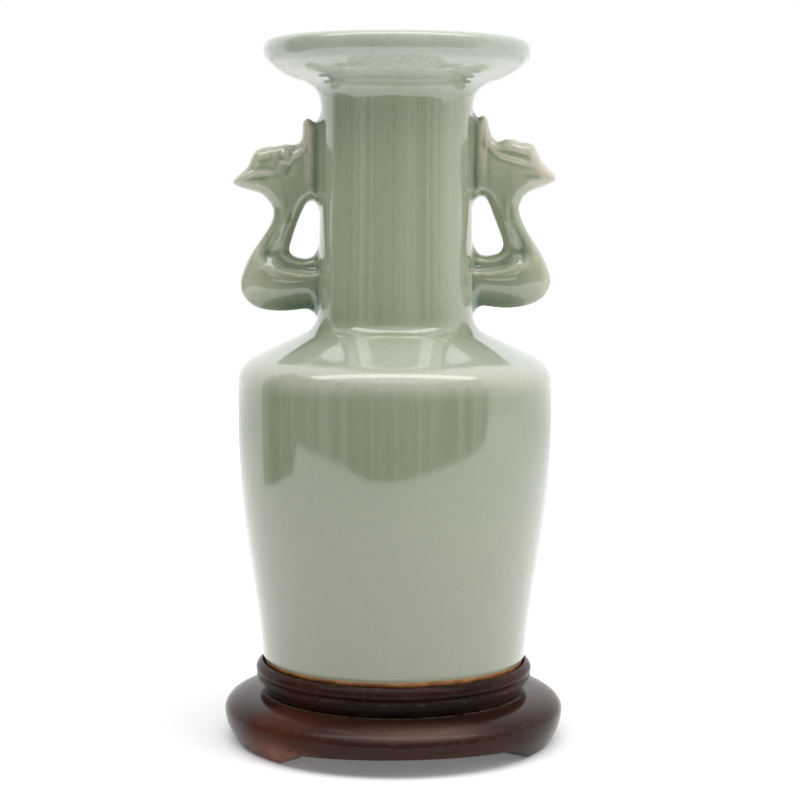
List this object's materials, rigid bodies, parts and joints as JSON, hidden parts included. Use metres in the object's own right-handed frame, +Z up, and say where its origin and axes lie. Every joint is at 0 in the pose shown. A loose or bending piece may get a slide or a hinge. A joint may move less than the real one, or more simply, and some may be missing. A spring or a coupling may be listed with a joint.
{
  "type": "twin-handled vase on a stand",
  "caption": "Mallet-shaped glazed vase with a dish mouth and moulded bird handles on its neck, standing in a turned hardwood stand with bracket feet.",
  "frame": {"origin": "on the vase's axis at the ground, in the middle of the stand's toes", "axes": "+Z up the axis of the vase, +X through the right handle, -Y towards the viewer"},
  "size_m": [0.137, 0.137, 0.2799],
  "materials": {
    "celadon_glaze": "thick grey-green celadon glaze over stoneware, glossy, paler where it thins at edges",
    "glazed_slip": "stoneware slip under pooled celadon glaze",
    "hardwood": "turned dark reddish-brown hardwood, waxed to a soft gloss"
  },
  "bodies": {
    "stand": {"seat_ring": "hardwood", "floor_board": "hardwood", "base_ring": "hardwood"},
    "vase": {"body_section": "celadon_glaze", "shoulder_luting_ring": "glazed_slip", "neck_section": "celadon_glaze", "mouth_luting_ring": "glazed_slip", "mouth_dish": "celadon_glaze", "left_handle": "celadon_glaze", "left_upper_pad": "glazed_slip", "left_lower_pad": "glazed_slip", "right_handle": "celadon_glaze", "right_upper_pad": "glazed_slip", "right_lower_pad": "glazed_slip"}
  },
  "joints": [
    {"name": "vase_lift", "type": "slide", "parent": "stand", "child": "vase", "axis": [0, 0, 1], "range_m": [0, 0.08]}
  ]
}
